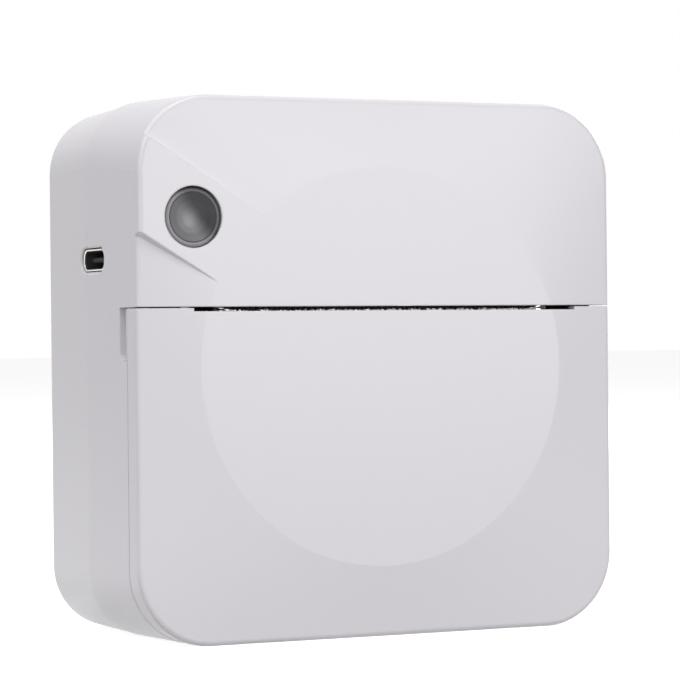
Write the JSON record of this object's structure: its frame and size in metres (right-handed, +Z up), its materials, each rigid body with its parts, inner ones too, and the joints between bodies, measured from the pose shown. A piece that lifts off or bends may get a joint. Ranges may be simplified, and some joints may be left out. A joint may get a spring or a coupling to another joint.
{
  "type": "portable thermal printer",
  "caption": "Palm-sized thermal printer: two-part case, fold-down front lid carrying the platen, geared print engine, roll bay, charging port and power button.",
  "frame": {"origin": "centre of the overall box at its lower face, on the standing face", "axes": "+Z up from the standing face, -Y out of the front face, +X along the width to the viewer's right when looking at the front"},
  "size_m": [0.0838, 0.0406, 0.085],
  "materials": {
    "white_abs": "satin moulded ABS",
    "grey_abs": "matt moulded ABS",
    "smoke_cap": "smoky translucent gloss",
    "black_plastic": "matt",
    "acetal": "waxy",
    "dark_acetal": "waxy",
    "platen_rubber": "ground matt",
    "steel": "ground",
    "zinc_steel": "zinc plated sheet",
    "spring_steel": "bright drawn",
    "cast_aluminium": "mill",
    "ceramic": "glazed",
    "green_board": "solder mask",
    "nickel": "nickel plated",
    "battery_wrap": "foil wrap"
  },
  "bodies": {
    "case": {"front_housing": "white_abs", "rear_shell": "white_abs", "paper_bay": "grey_abs", "paper_sensor": "black_plastic", "engine_frame": "zinc_steel", "head_rod": "steel", "head_springs": "spring_steel", "gear_posts": "steel", "gear_cover": "black_plastic", "stepper_motor": "zinc_steel", "tear_bar": "grey_abs", "tact_switch": "black_plastic", "button_board": "green_board", "main_board": "green_board", "board_parts": "black_plastic", "charging_port": "nickel", "battery": "battery_wrap", "case_screws": "zinc_steel", "engine_screws": "zinc_steel", "board_screws": "zinc_steel"},
    "lid": {"lid": "white_abs", "lid_liner": "grey_abs", "liner_screws": "zinc_steel", "hinge_pins": "steel", "platen_bushings": "dark_acetal"},
    "platen": {"platen_shaft": "steel", "platen_roller": "platen_rubber", "platen_gear": "acetal"},
    "idler": {"idler_gear": "acetal"},
    "reduction": {"reduction_gear": "acetal"},
    "rotor": {"motor_shaft": "steel", "motor_pinion": "acetal"},
    "head": {"head_sink": "cast_aluminium", "print_head": "ceramic"},
    "button": {"power_button": "smoke_cap", "switch_stem": "black_plastic"}
  },
  "joints": [
    {"name": "lid_hinge", "type": "hinge", "parent": "case", "child": "lid", "pos_m": [0, -0.0174, 0.0021], "axis": [1, 0, 0], "range_deg": [0, 90]},
    {"name": "platen_spin", "type": "hinge", "parent": "lid", "child": "platen", "pos_m": [0, -0.012, 0.044], "axis": [1, 0, 0], "continuous": true},
    {"name": "idler_spin", "type": "hinge", "parent": "case", "child": "idler", "pos_m": [0, -0.00327, 0.04288], "axis": [1, 0, 0], "continuous": true},
    {"name": "reduction_spin", "type": "hinge", "parent": "case", "child": "reduction", "pos_m": [0, -0.00041, 0.0486], "axis": [1, 0, 0], "continuous": true},
    {"name": "rotor_spin", "type": "hinge", "parent": "case", "child": "rotor", "pos_m": [0, 0.008, 0.046], "axis": [1, 0, 0], "continuous": true},
    {"name": "head_pivot", "type": "hinge", "parent": "case", "child": "head", "pos_m": [0, -0.0048, 0.0394], "axis": [-1, 0, 0], "range_deg": [0, 2.5], "stiffness_Nm_per_rad": 0.4, "springref_deg": -8.59, "deforming": ["head_springs"]},
    {"name": "button_press", "type": "slide", "parent": "case", "child": "button", "axis": [0, 1, 0], "range_m": [0, 0.0005], "stiffness_N_per_m": 1500, "springref_m": -0.0005}
  ],
  "couplings": [
    {"joint": "idler_spin", "follows": "platen_spin", "ratio": -1.2},
    {"joint": "reduction_spin", "follows": "platen_spin", "ratio": 2},
    {"joint": "rotor_spin", "follows": "platen_spin", "ratio": -5.3333}
  ]
}
